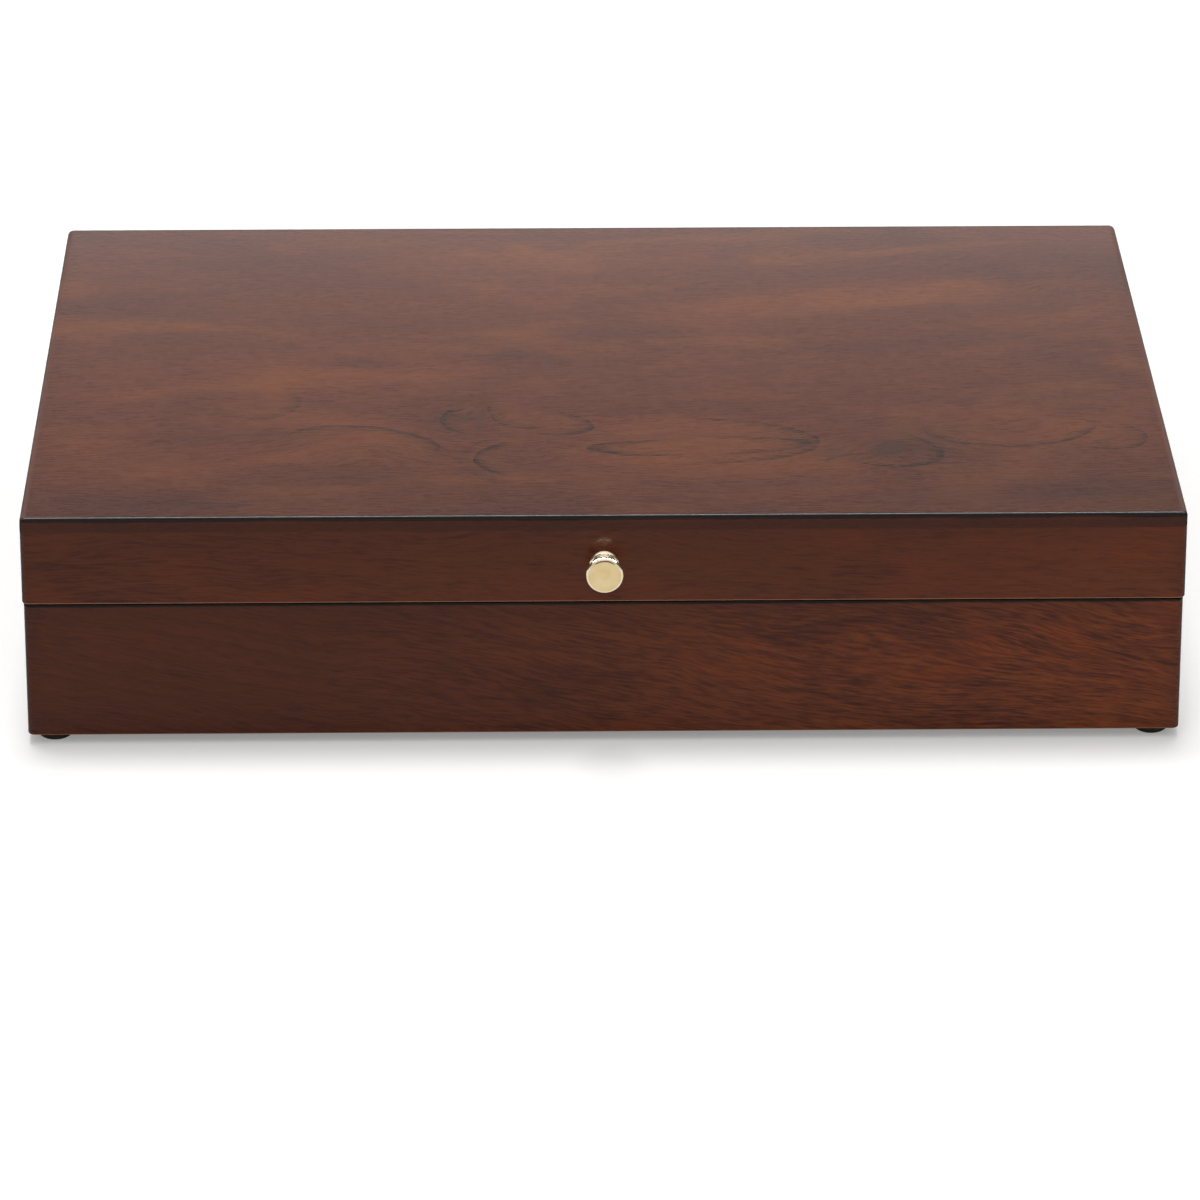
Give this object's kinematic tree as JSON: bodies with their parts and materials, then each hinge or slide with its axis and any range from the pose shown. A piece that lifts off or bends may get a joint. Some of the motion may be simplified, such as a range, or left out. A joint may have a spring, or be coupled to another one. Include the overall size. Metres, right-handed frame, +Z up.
{
  "type": "silverware chest",
  "caption": "Flat wooden chest on button feet with a hinged lid and round knob, lined, with a slotted flatware rack in the base and a knife rack in the lid.",
  "frame": {"origin": "on the surface the feet stand on, under the middle of the closed chest's outline from the knob's face to the hinge tails", "axes": "+X to the chest's right, -Y out of its front, +Z up"},
  "size_m": [0.388, 0.3026, 0.0821],
  "materials": {
    "stained_wood": "red-brown stain under satin lacquer",
    "stained_plywood": "dark stained plywood",
    "lining_cloth": "short-napped brown lining cloth over board",
    "foot_rubber": "matt",
    "hinge_brass": "brushed",
    "screw_brass": "satin",
    "polished_brass": "polished and lacquered",
    "screw_steel": "zinc plated"
  },
  "bodies": {
    "base": {"base_back_liner": "lining_cloth", "base_back_wall": "stained_wood", "base_bottom_panel": "stained_plywood", "base_front_liner": "lining_cloth", "base_front_wall": "stained_wood", "base_hinge_leaf_left": "hinge_brass", "base_hinge_leaf_right": "hinge_brass", "base_hinge_screws": "screw_brass", "base_left_liner": "lining_cloth", "base_left_wall": "stained_wood", "base_right_liner": "lining_cloth", "base_right_wall": "stained_wood", "flatware_rack": "lining_cloth", "floor_pad": "lining_cloth", "foot_back_left": "foot_rubber", "foot_back_right": "foot_rubber", "foot_front_left": "foot_rubber", "foot_front_right": "foot_rubber", "hinge_cover": "lining_cloth", "hinge_pin_left": "hinge_brass", "hinge_pin_right": "hinge_brass"},
    "lid": {"knife_rack_board": "lining_cloth", "knife_rack_comb": "lining_cloth", "knob": "polished_brass", "knob_screw": "screw_steel", "lid_back_wall": "stained_wood", "lid_front_lining": "lining_cloth", "lid_front_wall": "stained_wood", "lid_hinge_leaf_left": "hinge_brass", "lid_hinge_leaf_right": "hinge_brass", "lid_hinge_screws": "screw_brass", "lid_left_lining": "lining_cloth", "lid_left_wall": "stained_wood", "lid_lining": "lining_cloth", "lid_right_lining": "lining_cloth", "lid_right_wall": "stained_wood", "lid_top_panel": "stained_wood"}
  },
  "joints": [
    {"name": "lid_hinge", "type": "hinge", "parent": "base", "child": "lid", "pos_m": [0, 0.14776, 0.05125], "axis": [-1, 0, 0], "range_deg": [0, 100]}
  ]
}
